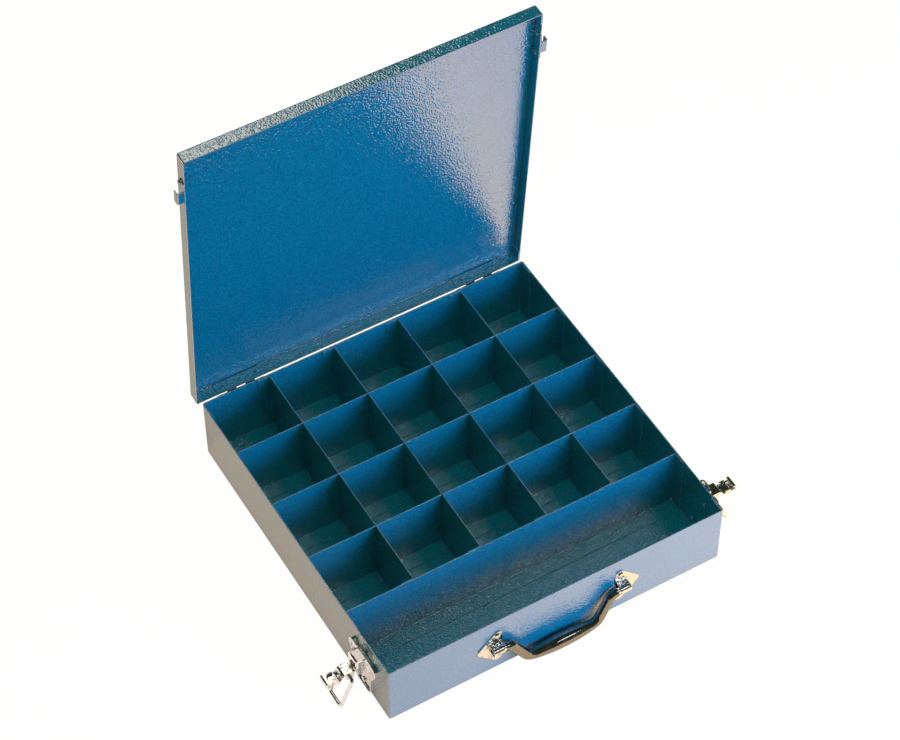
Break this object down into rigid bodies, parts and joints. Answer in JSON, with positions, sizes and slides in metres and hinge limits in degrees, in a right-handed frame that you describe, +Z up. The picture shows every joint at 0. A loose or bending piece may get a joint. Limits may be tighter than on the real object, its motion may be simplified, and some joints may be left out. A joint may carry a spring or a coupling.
{
  "type": "compartment storage box",
  "caption": "Sheet steel case with a divided tray for small parts, a hinged pan lid, two side toggle latches and a drop handle.",
  "frame": {"origin": "centre of the tray's flat underside", "axes": "+X to the right along the front, +Y to the hinged back, +Z up"},
  "size_m": [0.4096, 0.3655, 0.3937],
  "materials": {
    "blue_paint": "glossy hammered enamel",
    "plated_steel": "bright nickel plate",
    "black_plastic": "gloss"
  },
  "bodies": {
    "tray": {"tray_shell": "blue_paint", "row_divider_1": "blue_paint", "row_divider_2": "blue_paint", "row_divider_3": "blue_paint", "row_divider_4": "blue_paint", "column_divider_1": "blue_paint", "column_divider_2": "blue_paint", "column_divider_3": "blue_paint", "column_divider_4": "blue_paint", "tray_hinge_leaf_left": "blue_paint", "hinge_pin_left": "plated_steel", "latch_base_left": "plated_steel", "latch_rivets_left": "plated_steel", "latch_pin_left": "plated_steel", "handle_bracket_left": "plated_steel", "handle_rivets_left": "plated_steel", "tray_hinge_leaf_right": "blue_paint", "hinge_pin_right": "plated_steel", "latch_base_right": "plated_steel", "latch_rivets_right": "plated_steel", "latch_pin_right": "plated_steel", "handle_bracket_right": "plated_steel", "handle_rivets_right": "plated_steel"},
    "lid": {"lid_shell": "blue_paint", "lid_hinge_leaf_left": "blue_paint", "catch_left": "blue_paint", "catch_rivets_left": "blue_paint", "lid_hinge_leaf_right": "blue_paint", "catch_right": "blue_paint", "catch_rivets_right": "blue_paint"},
    "lever_left": {"latch_lever_left": "plated_steel"},
    "bail_left": {"latch_bail_left": "plated_steel"},
    "lever_right": {"latch_lever_right": "plated_steel"},
    "bail_right": {"latch_bail_right": "plated_steel"},
    "handle": {"handle_grip": "black_plastic", "handle_rod": "plated_steel"}
  },
  "joints": [
    {"name": "lid_hinge", "type": "hinge", "parent": "tray", "child": "lid", "pos_m": [0, 0.172, 0.0553], "axis": [-1, 0, 0], "range_deg": [-85.3, 94.7]},
    {"name": "lever_left_pivot", "type": "hinge", "parent": "tray", "child": "lever_left", "pos_m": [-0.173, -0.1245, 0.036], "axis": [0, -1, 0], "range_deg": [0, 84]},
    {"name": "bail_left_pivot", "type": "hinge", "parent": "lever_left", "child": "bail_left", "pos_m": [-0.182, -0.1245, 0.032], "axis": [0, 1, 0], "range_deg": [0, 242.18]},
    {"name": "lever_right_pivot", "type": "hinge", "parent": "tray", "child": "lever_right", "pos_m": [0.173, -0.1245, 0.036], "axis": [0, 1, 0], "range_deg": [0, 84]},
    {"name": "bail_right_pivot", "type": "hinge", "parent": "lever_right", "child": "bail_right", "pos_m": [0.182, -0.1245, 0.032], "axis": [0, -1, 0], "range_deg": [0, 242.18]},
    {"name": "handle_swing", "type": "hinge", "parent": "tray", "child": "handle", "pos_m": [0, -0.1702, 0.033], "axis": [-1, 0, 0], "range_deg": [0, 165]}
  ],
  "couplings": [
    {"joint": "bail_left_pivot", "follows": "lever_left_pivot", "ratio": 2.8829},
    {"joint": "bail_right_pivot", "follows": "lever_right_pivot", "ratio": 2.8829}
  ]
}
